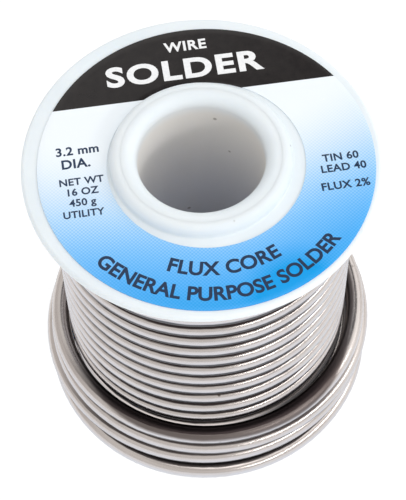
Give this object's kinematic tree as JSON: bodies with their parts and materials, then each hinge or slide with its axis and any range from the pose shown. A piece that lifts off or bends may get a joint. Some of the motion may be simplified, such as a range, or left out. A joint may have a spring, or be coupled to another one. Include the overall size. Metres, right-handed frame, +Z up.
{
  "type": "solder wire spool",
  "caption": "Plastic spool with a through bore, carrying a layered winding of thick flux-cored solder wire whose last turns lie loose round the lower flange.",
  "frame": {"origin": "centre of the spool's lower end face, on the axis of the bore", "axes": "+Z up along the bore axis towards the labelled flange; -Y towards the side from which the label reads upright"},
  "size_m": [0.0588, 0.0589, 0.0616],
  "materials": {
    "spool_plastic": "milky translucent polypropylene, satin gloss",
    "label": "printed coated label, white fading to blue, with a black field",
    "solder": "bright drawn tin-lead wire",
    "flux": "amber rosin"
  },
  "bodies": {
    "root": {"top_flange": "spool_plastic", "bottom_flange": "spool_plastic", "core_tube": "spool_plastic", "face_label": "label", "wire_layer_1": "solder", "wire_layer_2": "solder", "wire_layer_3": "solder", "wire_layer_4": "solder", "wire_loose_coil": "solder", "wire_free_end": "solder", "flux_core": "flux"}
  },
  "joints": []
}
